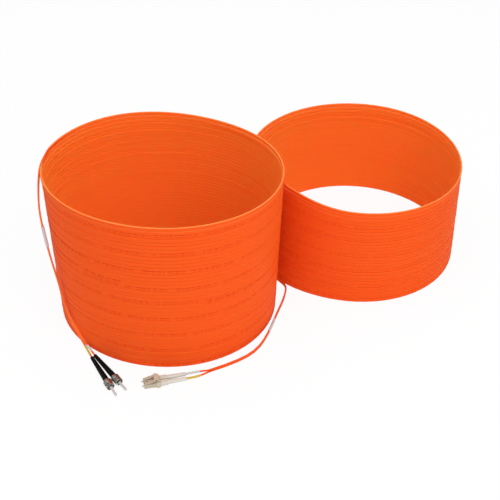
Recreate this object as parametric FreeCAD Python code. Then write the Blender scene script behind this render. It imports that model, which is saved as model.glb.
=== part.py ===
"""Duplex fibre patch cord wound into two standing coils, with bayonet plugs on one end and latch plugs on the
other.

Millimetres, +Z up. The origin is on the floor, under the middle of the whole object's box. Places on the
floor are given from the front coil's base centre, which stands at FRONT_COIL_AT.
"""
import FreeCAD, Part
import math
import os

Vector = FreeCAD.Vector
AXIS_X = Vector(1, 0, 0)
AXIS_Y = Vector(0, 1, 0)
AXIS_Z = Vector(0, 0, 1)

# Cord
LEG_DIAMETER = 1.8
ZIP_WIDTH = 3.8
COIL_WALL = 2.0
EDGE_CHAMFER = 0.55
ROUND_SIDES = 12
BEND_SHARE = 0.45
LABEL_BORE_GAP = 0.05
SLEEVE_DIAMETER = 2.2
SLEEVE_BORE_GAP = 0.03

# Coils: each is an oval wall that leans a little, with a sloping rim
FRONT_COIL_AT = (-105.35, -35.07)
FRONT_COIL = {
    "base": (0.0, 0.0), "lean": (2.96, 0.21), "low_radius": 110.86, "high_radius": 112.5,
    "oval": 5.76, "oval_turn": -8.6, "height": 173.03, "slope": (-0.0284, -0.0326)}
BACK_COIL = {
    "base": (211.42, 106.45), "lean": (-3.39, 0.42), "low_radius": 114.18, "high_radius": 111.83,
    "oval": 1.6, "oval_turn": 0.0, "height": 119.38, "slope": (-0.0267, 0.0148)}
CUT_SPARE = 1.0

# Routes of the cord where it isn't coiled
BAYONET_TAIL = [
    (-114.0, 12.0, 174.4), (-115.8, -9.0, 174.0), (-115.1, -26.8, 162.5), (-114.0, -41.1, 145.0),
    (-110.6, -48.5, 121.0), (-107.3, -52.5, 94.0), (-103.8, -52.9, 66.0), (-101.2, -55.8, 38.5),
    (-91.9, -64.3, 15.0), (-79.5, -80.6, 6.4)]
LATCH_TAIL = [
    (108.8, 56.4, 2.05), (115.05, 43.9, 2.05), (127.3, 26.6, 2.05), (129.6, 13.0, 2.05), (123.1, -2.0, 2.05),
    (118.2, -26.0, 2.05), (109.9, -53.6, 2.05), (97.6, -82.3, 2.05), (74.4, -100.9, 2.05),
    (48.0, -112.7, 2.05)]
CROSSOVER = [
    (-115.3, 0.0, 2.05), (-113.5, 33.5, 3.0), (-98.5, 63.5, 12.0), (-75.2, 87.6, 26.0), (-45.1, 103.2, 41.0),
    (-11.4, 110.0, 56.0), (22.8, 108.3, 71.0), (54.9, 98.0, 86.0), (82.0, 79.5, 101.0),
    (102.5, 55.5, 113.5), (121.5, 35.6, 119.5), (141.5, 17.3, 119.4)]
BAYONET_LABEL = {"span": (79.9, 101.2), "width": 5.0, "thickness": 3.0}
LATCH_LABEL = {"span": (101.2, 120.5), "width": 4.0, "thickness": 2.3}

# Legs: single cords from each split to 13 mm inside the boots
BAYONET_LEGS = {
    "a": [(-80.3, -81.2, 6.4), (-76.2, -87.3, 3.9), (-71.02, -95.51, 2.28), (-64.36, -106.66, 2.92)],
    "b": [(-78.7, -80.0, 6.4), (-73.9, -85.3, 3.9), (-68.38, -92.61, 2.28), (-60.43, -102.88, 2.92)]}
LATCH_LEGS = {
    "a": [(48.0, -112.7, 1.07), (40.5, -119.1, 1.9), (26.97, -123.98, 3.2), (14.37, -127.19, 3.2)],
    "b": [(48.0, -112.7, 3.03), (39.2, -113.9, 3.1), (25.43, -117.92, 3.2), (12.83, -121.13, 3.2)]}
BAYONET_SLEEVE_SPAN = {"a": (2.2, 14.1), "b": (2.2, 10.6)}
LATCH_SLEEVE_SPAN = {"a": (10.0, 24.0), "b": (8.9, 23.0)}

# Bayonet plugs, each along its own +X with the boot's rear end at 0
BAYONET_PLUGS = {
    "a": {"at": (-71.02, -95.51, 2.28), "yaw": -59.1, "tilt": 2.8, "roll": 25.0},
    "b": {"at": (-68.38, -92.61, 2.28), "yaw": -52.2, "tilt": 2.8, "roll": -40.0}}
BOOT_LENGTH = 38.2
BOOT_REAR_RADIUS = 1.85
BOOT_FRONT_RADIUS = 2.9
BOOT_TAPER_END = 34.7
BOOT_BORE_RADIUS = 1.35
BOOT_SOCKET_START = 27.7
BOOT_SOCKET_RADIUS = 2.35
BOOT_SLOTS = 8
BOOT_SLOT_START = 3.4
BOOT_SLOT_PITCH = 2.5
BOOT_SLOT_WIDTH = 1.0
BOOT_WEB_WIDTH = 2.9
BOOT_CHAMFER = 0.4
CRIMP_START = 28.1
CRIMP_END = 38.1
CRIMP_BORE_RADIUS = 1.8
CRIMP_RADIUS = 2.3
BODY_TAIL_START = 29.7
BODY_TAIL_RADIUS = 1.75
BODY_BORE_RADIUS = 0.6
BARREL_START = 38.3
BARREL_RADIUS = 2.45
RING_GROOVE_RADIUS = 2.1
RING_START = 38.75
RING_END = 39.5
RING_RADIUS = 3.2
RING_GAP = 1.6
RING_PLAY = 0.03
FLANGE_START = 46.2
FLANGE_END = 47.0
FLANGE_RADIUS = 3.1
NOSE_END = 49.6
NOSE_RADIUS = 1.95
NOSE_CHAMFER = 0.3
KEY_START = 47.0
KEY_LENGTH = 2.0
KEY_WIDTH = 0.9
KEY_RADIUS = 2.9
KEY_ROOT_RADIUS = 1.55
FERRULE_SEAT = 44.0
FERRULE_SEAT_RADIUS = 0.9
FERRULE_RADIUS = 1.25
FERRULE_TIP = 61.8
FERRULE_CHAMFER = 0.45
NUT_START = 39.6
NUT_WALL_END = 40.6
NUT_END = 48.6
NUT_HOLE_RADIUS = 2.5
NUT_CHAMBER_RADIUS = 3.4
NUT_RADIUS = 4.0
GRIP_END = 43.4
GRIP_RADIUS = 4.2
GRIP_GROOVES = 16
GRIP_GROOVE_DEPTH = 0.35
GRIP_GROOVE_WIDTH = 0.6
GRIP_GROOVE_MARGIN = 0.7
GRIP_CHAMFER = 0.4
MOUTH_CHAMFER = 0.2
SLOT_WIDTH = 1.9
SLOT_ENTRY_DEPTH = 2.0
SLOT_RAMP_DEPTH = 1.9
SLOT_TURN = 64.0
SLOT_STEPS = 3
SLOT_POCKET_RISE = 0.6
SLOT_POCKET_TURN = 4.0
SLOT_CUTTER_SPARE = 0.5
WASHER_START = 40.65
WASHER_THICKNESS = 0.6
WASHER_RADIUS = 3.25
NUT_SPRING_START = 41.35
NUT_SPRING_END = 46.1
NUT_SPRING_RADIUS = 2.9
NUT_SPRING_WIRE = 0.45
NUT_SPRING_TURNS = 3
SPRING_SIDES = 12

# Latch plugs, side by side along a shared +X with the boots' rear ends at 0
LATCH_PAIR = {"at": (26.2, -120.95, 3.2), "yaw": 194.3, "tilt": 0.0, "roll": 0.0}
LATCH_PITCH = 6.25
SMALL_BOOT_REAR_RADIUS = 1.8
SMALL_BOOT_FRONT_RADIUS = 2.3
SMALL_BOOT_LENGTH = 26.0
COLLAR_START = 18.8
COLLAR_WIDTH = 4.8
COLLAR_HEIGHT = 4.8
COLLAR_FILLET = 0.8
SMALL_SOCKET_START = 14.5
SMALL_SOCKET_RADIUS = 1.85
SMALL_BOOT_CHAMFER = 0.2
CRIMP_RING_START = 14.8
CRIMP_RING_END = 24.0
CRIMP_RING_BORE = 1.4
CRIMP_RING_RADIUS = 1.8
BACKBONE_START = 16.0
BACKBONE_TUBE_RADIUS = 1.35
BACKBONE_BORE_RADIUS = 0.95
BACKBONE_END = 29.0
BACKBONE_BLOCK = 3.7
HOUSING_END = 42.4
HOUSING_WIDTH = 4.8
HOUSING_HEIGHT = 4.9
NOSE_START = 33.5
NOSE_WIDTH = 4.4
NOSE_HEIGHT = 4.5
HOUSING_FILLET = 0.45
POCKET_GAP = 0.05
CHAMBER_RADIUS = 1.6
CHAMBER_END = 35.3
STOP_END = 36.2
STOP_HOLE_RADIUS = 0.95
MOUTH_RADIUS = 1.6
SMALL_FERRULE_RADIUS = 0.625
SMALL_FERRULE_SEAT = 33.0
SMALL_FERRULE_TIP = 44.6
SMALL_FERRULE_CHAMFER = 0.2
COLLET_START = 32.8
COLLET_END = 35.2
COLLET_RADIUS = 1.5
SMALL_SPRING_START = 29.1
SMALL_SPRING_END = 32.7
SMALL_SPRING_RADIUS = 1.1
SMALL_SPRING_WIRE = 0.3
SMALL_SPRING_TURNS = 4
LEVER_PIVOT = (40.8, 2.95)
LEVER_ROOT_RADIUS = 0.62
LEVER_THICKNESS = 0.85
LEVER_BEND = (32.6, 5.0)
LEVER_END = (30.2, 5.1)
LEVER_WIDTH = 2.9
CATCH_START = 36.0
CATCH_LENGTH = 1.3
CATCH_WIDTH = 3.9
CATCH_HEIGHT = 1.0
CLIP_START = 26.3
CLIP_END = 30.4
CLIP_WALL = 0.7
CLIP_GAP = 0.05
TRIGGER_PIVOT = (27.1, 3.85)
TRIGGER_ROOT_RADIUS = 0.5
TRIGGER_THICKNESS = 1.0
TRIGGER_WIDTH = 8.6
TRIGGER_KNEE = (28.7, 6.6)
TRIGGER_PEAK = (30.6, 7.2)
TRIGGER_TIP = (32.1, 6.3)
TRIGGER_ROUND = 0.45


def on_floor(place):
    """Shift a place given from the front coil's base centre into the part's frame."""
    height = place[2] if len(place) > 2 else 0.0
    return Vector(place[0] + FRONT_COIL_AT[0], place[1] + FRONT_COIL_AT[1], height)


def ellipse_wire(middle, radius, oval, turn, slope):
    """An ellipse with semi-axes radius plus and minus oval, its long axis turned by turn degrees, sloping."""
    angle = math.radians(turn)
    long_axis = Vector(math.cos(angle), math.sin(angle), 0)
    short_axis = Vector(-math.sin(angle), math.cos(angle), 0)
    for axis in (long_axis, short_axis):
        axis.z = slope[0] * axis.x + slope[1] * axis.y
    long_end = middle + long_axis * (radius + oval)
    short_end = middle + short_axis * (radius - oval)
    return Part.Wire(Part.Ellipse(long_end, short_end, middle).toShape())


def coil_drum(coil, inset, spare):
    """The leaning oval drum of a coil, drawn in by inset and longer than the coil by spare at both ends."""
    rings = []
    for z, slope in ((-spare, (0, 0)), (coil["height"] + spare, coil["slope"])):
        share = z / coil["height"]
        middle = on_floor(coil["base"]) + Vector(coil["lean"][0] * share, coil["lean"][1] * share, z)
        radius = coil["low_radius"] + (coil["high_radius"] - coil["low_radius"]) * share - inset
        rings.append(ellipse_wire(middle, radius, coil["oval"], coil["oval_turn"], slope))
    return Part.makeLoft(rings, True, True)


def coil_wall(coil):
    """One coil as a closed wall with a flat base and a sloping rim."""
    return coil_drum(coil, 0.0, 0.0).cut(coil_drum(coil, COIL_WALL, CUT_SPARE))


def polygon_face(at, along, across, corners):
    """A face with corners given as (across, beside) distances from a place on a route."""
    beside = along.cross(across)
    points = [at + across * u + beside * v for u, v in corners]
    return Part.Face(Part.makePolygon(points + points[:1]))


def round_section(radius):
    """A round section of a cord drawn with flats, as a function of its place and directions."""
    corner = radius / math.cos(math.pi / ROUND_SIDES)
    angles = [2 * math.pi * (i + 0.5) / ROUND_SIDES for i in range(ROUND_SIDES)]
    corners = [(corner * math.cos(angle), corner * math.sin(angle)) for angle in angles]
    return lambda at, along, across: polygon_face(at, along, across, corners)


def flat_section(width, thickness):
    """A flat section with chamfered edges, its width along across."""
    wide, thick = width / 2, thickness / 2
    quarter = [(wide, thick - EDGE_CHAMFER), (wide - EDGE_CHAMFER, thick)]
    upper = quarter + [(-u, v) for u, v in quarter[::-1]]
    corners = upper + [(-u, -v) for u, v in upper]
    return lambda at, along, across: polygon_face(at, along, across, corners)


def route_steps(route):
    """Straight runs and tangent arcs along a route: (start, direction, length, centre, axis, radius)."""
    points = [on_floor(place) for place in route]
    runs = [after - before for before, after in zip(points, points[1:])]
    trims = [0.0] * len(points)
    bends = [None] * len(points)
    for i in range(1, len(points) - 1):
        turn = runs[i - 1].getAngle(runs[i])
        trims[i] = BEND_SHARE * min(runs[i - 1].Length, runs[i].Length)
        bends[i] = (turn, trims[i] / math.tan(turn / 2))
    steps = []
    for i, run in enumerate(runs):
        along = Vector(run).normalize()
        straight = run.Length - trims[i] - trims[i + 1]
        steps.append((points[i] + along * trims[i], along, straight, None, None, None))
        if bends[i + 1]:
            turn, radius = bends[i + 1]
            axis = along.cross(runs[i + 1]).normalize()
            start = points[i + 1] - along * trims[i + 1]
            steps.append((start, along, radius * turn, start + axis.cross(along) * radius, axis, radius))
    return steps


def route_radii(route):
    """Radii of a route's arcs, in order."""
    return [round(step[5], 1) for step in route_steps(route) if step[5]]


def swept(route, section, across, span=None):
    """Carry a section along a route, or along the span of it between two distances from its start."""
    first, last = span or (0.0, math.inf)
    steps = route_steps(route)
    across = (across - steps[0][1] * across.dot(steps[0][1])).normalize()
    pieces = []
    gone = 0.0
    for start, along, length, centre, axis, radius in steps:
        begin = max(first - gone, 0.0)
        end = min(last - gone, length)
        gone += length
        turned = across
        if centre is None:
            if end > begin:
                pieces.append(section(start + along * begin, along, across).extrude(along * (end - begin)))
            continue
        turned = FreeCAD.Rotation(axis, math.degrees(length / radius)).multVec(across)
        if end > begin:
            lead = FreeCAD.Rotation(axis, math.degrees(begin / radius))
            place = centre + lead.multVec(start - centre)
            face = section(place, lead.multVec(along), lead.multVec(across))
            pieces.append(face.revolve(centre, axis, math.degrees((end - begin) / radius)))
        across = turned
    return pieces[0].multiFuse(pieces[1:]).removeSplitter()


def route_length(route):
    """Length along a route's runs and arcs."""
    return sum(step[2] for step in route_steps(route))


def zip_cord(route, across):
    """A stretch of the flat two-leg cord."""
    return swept(route, flat_section(ZIP_WIDTH, LEG_DIAMETER), across)


def leg_cord(route):
    """A single leg of the split cord."""
    return swept(route, round_section(LEG_DIAMETER / 2), AXIS_Z)


def leg_sleeve(route, span):
    """A marker sleeve shrunk on to a leg."""
    bore = round_section(LEG_DIAMETER / 2 + SLEEVE_BORE_GAP)
    outside = swept(route, round_section(SLEEVE_DIAMETER / 2), AXIS_Z, span)
    return outside.cut(swept(route, bore, AXIS_Z, (span[0] - CUT_SPARE, span[1] + CUT_SPARE)))


def label_sleeve(route, label):
    """A bare label sleeve wrapped round a tail of the flat cord."""
    gap = 2 * LABEL_BORE_GAP
    first, last = label["span"]
    outside = swept(route, flat_section(label["width"], label["thickness"]), AXIS_Z, (first, last))
    bore = flat_section(ZIP_WIDTH + gap, LEG_DIAMETER + gap)
    return outside.cut(swept(route, bore, AXIS_Z, (first - CUT_SPARE, last + CUT_SPARE)))


def plug_placement(plug):
    """Where a plug lies: its local +X runs forward out of the boot."""
    turn = FreeCAD.Rotation(plug["yaw"], -plug["tilt"], plug["roll"])
    return FreeCAD.Placement(on_floor(plug["at"]), turn)


def turned_piece(profile):
    """Revolve an outline of (distance along the axis, radius) points about the X axis."""
    points = [Vector(x, 0, r) for x, r in profile]
    return Part.Face(Part.makePolygon(points + points[:1])).revolve(Vector(0, 0, 0), AXIS_X, 360)


def tube(start, end, bore, radius):
    """A plain tube on the X axis."""
    return turned_piece([(start, bore), (start, radius), (end, radius), (end, bore)])


def hex_tube(start, end, bore, corner):
    """A tube on the X axis, pressed to a hexagon outside."""
    angles = [math.pi * i / 3 for i in range(7)]
    outside = Part.Face(Part.makePolygon(
        [Vector(start, corner * math.cos(angle), corner * math.sin(angle)) for angle in angles]))
    hole = Part.Face(Part.Wire(Part.makeCircle(bore, Vector(start, 0, 0), AXIS_X)))
    return outside.cut(hole).extrude(AXIS_X * (end - start))


def block(start, end, width, height, y=0.0, z=0.0):
    """A box along X, centred on y and z."""
    return Part.makeBox(end - start, width, height, Vector(start, y - width / 2, z - height / 2))


def coil_spring(start, end, radius, wire, turns):
    """A helical spring of square wire along the X axis, drawn with SPRING_SIDES flats to a turn."""
    half = wire / 2
    rise = (end - start - wire) / (turns * SPRING_SIDES)
    points = []
    for i in range(turns * SPRING_SIDES + 1):
        angle = 2 * math.pi * i / SPRING_SIDES
        points.append(Vector(start + half + rise * i, radius * math.sin(angle), radius * math.cos(angle)))
    corners = [Vector(start, 0, radius - half), Vector(start + wire, 0, radius - half),
               Vector(start + wire, 0, radius + half), Vector(start, 0, radius + half)]
    section = Part.makePolygon(corners + corners[:1])
    right_corners = 1
    return Part.makePolygon(points).makePipeShell([section], True, False, right_corners)


def bayonet_boot():
    """A tapered strain relief boot that flexes at pairs of slots, each a quarter turn from the last."""
    boot = turned_piece([
        (0, BOOT_BORE_RADIUS), (0, BOOT_REAR_RADIUS - BOOT_CHAMFER), (BOOT_CHAMFER, BOOT_REAR_RADIUS),
        (BOOT_TAPER_END, BOOT_FRONT_RADIUS), (BOOT_LENGTH, BOOT_FRONT_RADIUS),
        (BOOT_LENGTH, BOOT_SOCKET_RADIUS), (BOOT_SOCKET_START, BOOT_SOCKET_RADIUS),
        (BOOT_SOCKET_START, BOOT_BORE_RADIUS)])
    depth = BOOT_FRONT_RADIUS
    slots = []
    for i in range(BOOT_SLOTS):
        start = BOOT_SLOT_START + i * BOOT_SLOT_PITCH
        for side in (-1, 1):
            middle = side * (BOOT_WEB_WIDTH + depth) / 2
            slot = block(start, start + BOOT_SLOT_WIDTH, 2 * depth, depth, 0.0, middle)
            slots.append(slot.rotated(Vector(0, 0, 0), AXIS_X, 90 * (i % 2)))
    return boot.cut(slots)


def bayonet_body():
    """The plated plug body: crimp tail, barrel with a ring groove, spring flange, and a keyed nose."""
    body = turned_piece([
        (BODY_TAIL_START, BODY_BORE_RADIUS), (BODY_TAIL_START, BODY_TAIL_RADIUS),
        (BARREL_START, BODY_TAIL_RADIUS), (BARREL_START, BARREL_RADIUS), (RING_START, BARREL_RADIUS),
        (RING_START, RING_GROOVE_RADIUS), (RING_END, RING_GROOVE_RADIUS), (RING_END, BARREL_RADIUS),
        (FLANGE_START, BARREL_RADIUS), (FLANGE_START, FLANGE_RADIUS), (FLANGE_END, FLANGE_RADIUS),
        (FLANGE_END, NOSE_RADIUS), (NOSE_END - NOSE_CHAMFER, NOSE_RADIUS),
        (NOSE_END, NOSE_RADIUS - NOSE_CHAMFER), (NOSE_END, FERRULE_SEAT_RADIUS),
        (FERRULE_SEAT, FERRULE_SEAT_RADIUS), (FERRULE_SEAT, BODY_BORE_RADIUS)])
    height = KEY_RADIUS - KEY_ROOT_RADIUS
    key = block(KEY_START, KEY_START + KEY_LENGTH, KEY_WIDTH, height, 0.0, KEY_RADIUS - height / 2)
    return body.fuse(key).removeSplitter()


def retaining_ring():
    """The split ring in the barrel's groove that keeps the nut on."""
    ring = tube(RING_START + RING_PLAY, RING_END - RING_PLAY, RING_GROOVE_RADIUS + RING_PLAY, RING_RADIUS)
    return ring.cut(block(RING_START, RING_END, RING_GAP, 2 * RING_RADIUS, 0.0, -RING_RADIUS))


def ferrule_tip(seat, tip, radius, chamfer):
    """Outline of a ceramic ferrule with a chamfered tip."""
    return [(seat, radius), (tip - chamfer, radius), (tip, radius - chamfer), (tip, 0)]


def bayonet_ferrule():
    """The bayonet plug's ferrule, ground a little slimmer where it is seated in the body."""
    seated = [(FERRULE_SEAT, 0), (FERRULE_SEAT, FERRULE_SEAT_RADIUS), (NOSE_END, FERRULE_SEAT_RADIUS)]
    return turned_piece(seated + ferrule_tip(NOSE_END, FERRULE_TIP, FERRULE_RADIUS, FERRULE_CHAMFER))


def latch_ferrule():
    """The latch plug's ferrule."""
    outline = ferrule_tip(SMALL_FERRULE_SEAT, SMALL_FERRULE_TIP, SMALL_FERRULE_RADIUS, SMALL_FERRULE_CHAMFER)
    return turned_piece([(SMALL_FERRULE_SEAT, 0)] + outline)


def bayonet_slot():
    """Cutter for one bayonet slot: straight in from the nut's mouth, along a ramp, and into a pocket."""
    entry = NUT_END - SLOT_ENTRY_DEPTH
    path = [(NUT_END + SLOT_WIDTH, 0.0), (entry, 0.0)]
    for i in range(1, SLOT_STEPS + 1):
        share = i / SLOT_STEPS
        path.append((entry - SLOT_RAMP_DEPTH * share, SLOT_TURN * share))
    path.append((path[-1][0] + SLOT_POCKET_RISE, SLOT_TURN + SLOT_POCKET_TURN))
    inner = NUT_CHAMBER_RADIUS - SLOT_CUTTER_SPARE
    outer = NUT_RADIUS + SLOT_CUTTER_SPARE
    cutters = []
    for x, angle in path[1:]:
        drill = Part.makeCylinder(SLOT_WIDTH / 2, outer - inner, Vector(x, 0, inner), AXIS_Z)
        drill.rotate(Vector(0, 0, 0), AXIS_X, angle)
        cutters.append(drill)
    for (x1, angle1), (x2, angle2) in zip(path, path[1:]):
        sideways = -math.radians(angle2 - angle1) * NUT_RADIUS
        length = math.hypot(x2 - x1, sideways)
        milled = Part.makeBox(length, SLOT_WIDTH, outer - inner, Vector(-length / 2, -SLOT_WIDTH / 2, inner))
        milled.rotate(Vector(0, 0, 0), AXIS_Z, math.degrees(math.atan2(sideways, x2 - x1)))
        milled.translate(Vector((x1 + x2) / 2, 0, 0))
        milled.rotate(Vector(0, 0, 0), AXIS_X, (angle1 + angle2) / 2)
        cutters.append(milled)
    return cutters[0].multiFuse(cutters[1:])


def bayonet_nut():
    """The coupling nut: grooved grip, thin-walled mouth and two bayonet slots."""
    nut = turned_piece([
        (NUT_START, NUT_HOLE_RADIUS), (NUT_START, GRIP_RADIUS - GRIP_CHAMFER),
        (NUT_START + GRIP_CHAMFER, GRIP_RADIUS), (GRIP_END - GRIP_CHAMFER, GRIP_RADIUS),
        (GRIP_END, NUT_RADIUS), (NUT_END - MOUTH_CHAMFER, NUT_RADIUS), (NUT_END, NUT_RADIUS - MOUTH_CHAMFER),
        (NUT_END, NUT_CHAMBER_RADIUS), (NUT_WALL_END, NUT_CHAMBER_RADIUS), (NUT_WALL_END, NUT_HOLE_RADIUS)])
    cutters = []
    groove = block(NUT_START + GRIP_GROOVE_MARGIN, GRIP_END - GRIP_GROOVE_MARGIN, GRIP_GROOVE_WIDTH,
                   2 * GRIP_GROOVE_DEPTH, 0.0, GRIP_RADIUS)
    for i in range(GRIP_GROOVES):
        cutters.append(groove.rotated(Vector(0, 0, 0), AXIS_X, 360 * i / GRIP_GROOVES))
    for turn in (0, 180):
        cutters.append(bayonet_slot().rotated(Vector(0, 0, 0), AXIS_X, turn))
    return nut.cut(cutters)


def bayonet_plug():
    """Every piece of one bayonet plug in its own frame."""
    return {
        "boot": bayonet_boot(),
        "crimp_sleeve": hex_tube(CRIMP_START, CRIMP_END, CRIMP_BORE_RADIUS, CRIMP_RADIUS),
        "body": bayonet_body(),
        "retaining_ring": retaining_ring(),
        "thrust_washer": tube(WASHER_START, WASHER_START + WASHER_THICKNESS, NUT_HOLE_RADIUS, WASHER_RADIUS),
        "spring": coil_spring(NUT_SPRING_START, NUT_SPRING_END, NUT_SPRING_RADIUS, NUT_SPRING_WIRE,
                              NUT_SPRING_TURNS),
        "nut": bayonet_nut(),
        "ferrule": bayonet_ferrule()}


def rounded_block(start, end, width, height, radius):
    """A box along X with its four long edges rounded."""
    box = block(start, end, width, height)
    long_edges = [edge for edge in box.Edges if abs(edge.BoundBox.XLength - (end - start)) < 1e-6]
    return box.makeFillet(radius, long_edges)


def latch_boot():
    """A small boot: tapered tail and a square collar that butts against the housing."""
    tail = turned_piece([
        (0, 0), (0, SMALL_BOOT_REAR_RADIUS - SMALL_BOOT_CHAMFER),
        (SMALL_BOOT_CHAMFER, SMALL_BOOT_REAR_RADIUS),
        (COLLAR_START + CUT_SPARE, SMALL_BOOT_FRONT_RADIUS), (COLLAR_START + CUT_SPARE, 0)])
    collar = rounded_block(COLLAR_START, SMALL_BOOT_LENGTH, COLLAR_WIDTH, COLLAR_HEIGHT, COLLAR_FILLET)
    bore_length = SMALL_SOCKET_START + 2 * CUT_SPARE
    bore = Part.makeCylinder(BOOT_BORE_RADIUS, bore_length, Vector(-CUT_SPARE, 0, 0), AXIS_X)
    socket_length = SMALL_BOOT_LENGTH - SMALL_SOCKET_START + CUT_SPARE
    socket = Part.makeCylinder(SMALL_SOCKET_RADIUS, socket_length, Vector(SMALL_SOCKET_START, 0, 0), AXIS_X)
    return tail.fuse(collar).cut([bore, socket]).removeSplitter()


def backbone():
    """The latch plug's inner body: crimp tube and the square block that shuts the housing's rear."""
    tail = tube(BACKBONE_START, SMALL_BOOT_LENGTH, BACKBONE_BORE_RADIUS, BACKBONE_TUBE_RADIUS)
    plug = block(SMALL_BOOT_LENGTH, BACKBONE_END, BACKBONE_BLOCK, BACKBONE_BLOCK)
    bore_start = Vector(SMALL_BOOT_LENGTH - CUT_SPARE, 0, 0)
    bore_length = BACKBONE_END - SMALL_BOOT_LENGTH + 2 * CUT_SPARE
    bore = Part.makeCylinder(BACKBONE_BORE_RADIUS, bore_length, bore_start, AXIS_X)
    return tail.fuse(plug.cut(bore)).removeSplitter()


def latch_housing():
    """The moulded latch plug housing: square rear, slimmer nose, spring chamber, stop wall and open mouth."""
    rear = rounded_block(SMALL_BOOT_LENGTH, NOSE_START, HOUSING_WIDTH, HOUSING_HEIGHT, HOUSING_FILLET)
    nose = rounded_block(NOSE_START, HOUSING_END, NOSE_WIDTH, NOSE_HEIGHT, HOUSING_FILLET)
    pocket = BACKBONE_BLOCK + 2 * POCKET_GAP
    hollows = [block(SMALL_BOOT_LENGTH - CUT_SPARE, BACKBONE_END + POCKET_GAP, pocket, pocket)]
    bores = ((CHAMBER_RADIUS, BACKBONE_END, CHAMBER_END),
             (STOP_HOLE_RADIUS, CHAMBER_END - CUT_SPARE, HOUSING_END),
             (MOUTH_RADIUS, STOP_END, HOUSING_END + CUT_SPARE))
    for radius, start, end in bores:
        hollows.append(Part.makeCylinder(radius, end - start, Vector(start, 0, 0), AXIS_X))
    return rear.fuse(nose).cut(hollows).removeSplitter()


def bar_outline(centres, thickness):
    """A bar of even thickness that follows centre points in the XZ plane, as a closed polygon."""
    points = [Vector(x, 0, z) for x, z in centres]
    above, below = [], []
    for i, point in enumerate(points):
        before = points[max(i - 1, 0)]
        after = points[min(i + 1, len(points) - 1)]
        normal = (after - before).normalize().cross(AXIS_Y)
        above.append(point + normal * (thickness / 2))
        below.append(point - normal * (thickness / 2))
    return Part.makePolygon(above + below[::-1] + above[:1])


def bar(centres, thickness, width):
    """Extrude a bar outline to a width centred on the XZ plane."""
    face = Part.Face(bar_outline(centres, thickness))
    face.translate(Vector(0, -width / 2, 0))
    return face.extrude(AXIS_Y * width)


def hinge_root(pivot, radius, width):
    """The rolled root of a lever, on its pivot line."""
    return Part.makeCylinder(radius, width, Vector(pivot[0], -width / 2, pivot[1]), AXIS_Y)


def latch_lever():
    """The latch: a rising cantilever rooted at the nose, with a pair of catches and a flat rear end."""
    arm = bar([LEVER_PIVOT, LEVER_BEND, LEVER_END], LEVER_THICKNESS, LEVER_WIDTH)
    share = (LEVER_PIVOT[0] - CATCH_START - CATCH_LENGTH / 2) / (LEVER_PIVOT[0] - LEVER_BEND[0])
    catch_height = LEVER_PIVOT[1] + share * (LEVER_BEND[1] - LEVER_PIVOT[1])
    catch = block(CATCH_START, CATCH_START + CATCH_LENGTH, CATCH_WIDTH, CATCH_HEIGHT, 0.0, catch_height)
    root = hinge_root(LEVER_PIVOT, LEVER_ROOT_RADIUS, LEVER_WIDTH)
    return arm.multiFuse([catch, root]).removeSplitter()


def latch_plug():
    """Every piece of one latch plug in its own frame."""
    return {
        "boot": latch_boot(),
        "crimp_ring": hex_tube(CRIMP_RING_START, CRIMP_RING_END, CRIMP_RING_BORE, CRIMP_RING_RADIUS),
        "backbone": backbone(),
        "housing": latch_housing(),
        "lever": latch_lever(),
        "collet": hex_tube(COLLET_START, COLLET_END, SMALL_FERRULE_RADIUS, COLLET_RADIUS),
        "ferrule": latch_ferrule(),
        "spring": coil_spring(SMALL_SPRING_START, SMALL_SPRING_END, SMALL_SPRING_RADIUS, SMALL_SPRING_WIRE,
                              SMALL_SPRING_TURNS)}


def duplex_clip():
    """The clip that holds the two latch plugs side by side."""
    opening_width = HOUSING_WIDTH + 2 * CLIP_GAP
    opening_height = HOUSING_HEIGHT + 2 * CLIP_GAP
    width = LATCH_PITCH + opening_width + 2 * CLIP_WALL
    frame = rounded_block(CLIP_START, CLIP_END, width, opening_height + 2 * CLIP_WALL, CLIP_WALL)
    opening = block(CLIP_START - CUT_SPARE, CLIP_END + CUT_SPARE, opening_width, opening_height)
    shift = AXIS_Y * (LATCH_PITCH / 2)
    return frame.cut([opening.translated(shift), opening.translated(-shift)])


def clip_trigger():
    """The trigger: a wide curled lever on the clip that presses both latches."""
    arm = bar([TRIGGER_PIVOT, TRIGGER_KNEE, TRIGGER_PEAK, TRIGGER_TIP], TRIGGER_THICKNESS, TRIGGER_WIDTH)
    crosswise = [edge for edge in arm.Edges if abs(edge.BoundBox.YLength - TRIGGER_WIDTH) < 1e-6]
    rounded = [edge for edge in crosswise if edge.BoundBox.ZMin > TRIGGER_TIP[1] - TRIGGER_THICKNESS]
    arm = arm.makeFillet(TRIGGER_ROUND, rounded)
    return arm.fuse(hinge_root(TRIGGER_PIVOT, TRIGGER_ROOT_RADIUS, TRIGGER_WIDTH)).removeSplitter()


def cord_nodes():
    """Coils, tails, legs and what is shrunk or wrapped on them."""
    nodes = {
        "front_coil": coil_wall(FRONT_COIL),
        "back_coil": coil_wall(BACK_COIL),
        "crossover_cord": zip_cord(CROSSOVER, AXIS_Z),
        "bayonet_tail_cord": zip_cord(BAYONET_TAIL, AXIS_Z),
        "latch_tail_cord": zip_cord(LATCH_TAIL, AXIS_Z),
        "bayonet_label_sleeve": label_sleeve(BAYONET_TAIL, BAYONET_LABEL),
        "latch_label_sleeve": label_sleeve(LATCH_TAIL, LATCH_LABEL)}
    for name in "ab":
        nodes[f"bayonet_{name}_leg"] = leg_cord(BAYONET_LEGS[name])
        nodes[f"bayonet_{name}_sleeve"] = leg_sleeve(BAYONET_LEGS[name], BAYONET_SLEEVE_SPAN[name])
        nodes[f"latch_{name}_leg"] = leg_cord(LATCH_LEGS[name])
        nodes[f"latch_{name}_sleeve"] = leg_sleeve(LATCH_LEGS[name], LATCH_SLEEVE_SPAN[name])
    return nodes


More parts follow.
